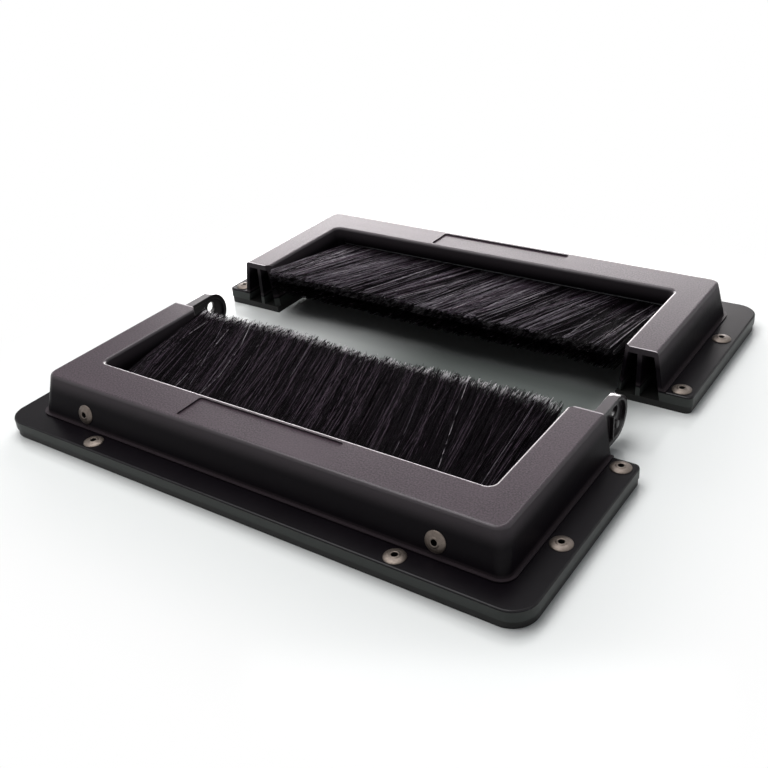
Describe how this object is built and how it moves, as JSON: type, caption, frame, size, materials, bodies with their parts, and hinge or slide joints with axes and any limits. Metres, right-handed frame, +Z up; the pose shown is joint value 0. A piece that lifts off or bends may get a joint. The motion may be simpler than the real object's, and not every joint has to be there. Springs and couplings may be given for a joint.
{
  "type": "split brush cable grommet",
  "caption": "Split rectangular cable grommet with black bristle brushes between raised arms; latch tongues on the front half slide into sockets of the rear half.",
  "frame": {"origin": "on the floor, midway between the two halves and midway along the flange", "axes": "+X along the flange, +Y from the front half to the rear half, +Z up"},
  "size_m": [0.285, 0.272, 0.0288],
  "materials": {
    "cover_moulding": "fine pebbled grain, satin",
    "base_moulding": "plain satin",
    "tongue_moulding": "smooth",
    "bristle": "nylon bristles",
    "strip_steel": "galvanised",
    "rivet": "dull, dark"
  },
  "bodies": {
    "front_half": {"front_cover": "cover_moulding", "front_base_plate": "base_moulding", "front_brush_carrier": "base_moulding", "front_upper_brush_strip": "strip_steel", "front_lower_brush_strip": "strip_steel", "front_upper_core_wire": "strip_steel", "front_lower_core_wire": "strip_steel", "front_upper_bristles": "bristle", "front_lower_bristles": "bristle", "front_flange_rivets": "rivet", "front_wall_rivets": "rivet", "front_left_tongue": "tongue_moulding", "front_right_tongue": "tongue_moulding"},
    "rear_half": {"rear_cover": "cover_moulding", "rear_base_plate": "base_moulding", "rear_brush_carrier": "base_moulding", "rear_upper_brush_strip": "strip_steel", "rear_lower_brush_strip": "strip_steel", "rear_upper_core_wire": "strip_steel", "rear_lower_core_wire": "strip_steel", "rear_upper_bristles": "bristle", "rear_lower_bristles": "bristle", "rear_flange_rivets": "rivet", "rear_wall_rivets": "rivet"}
  },
  "joints": [
    {"name": "closing", "type": "slide", "parent": "front_half", "child": "rear_half", "axis": [0, 1, 0], "range_m": [-0.0596, 0], "deforming": ["front_upper_bristles", "front_lower_bristles", "rear_upper_bristles", "rear_lower_bristles"]}
  ]
}
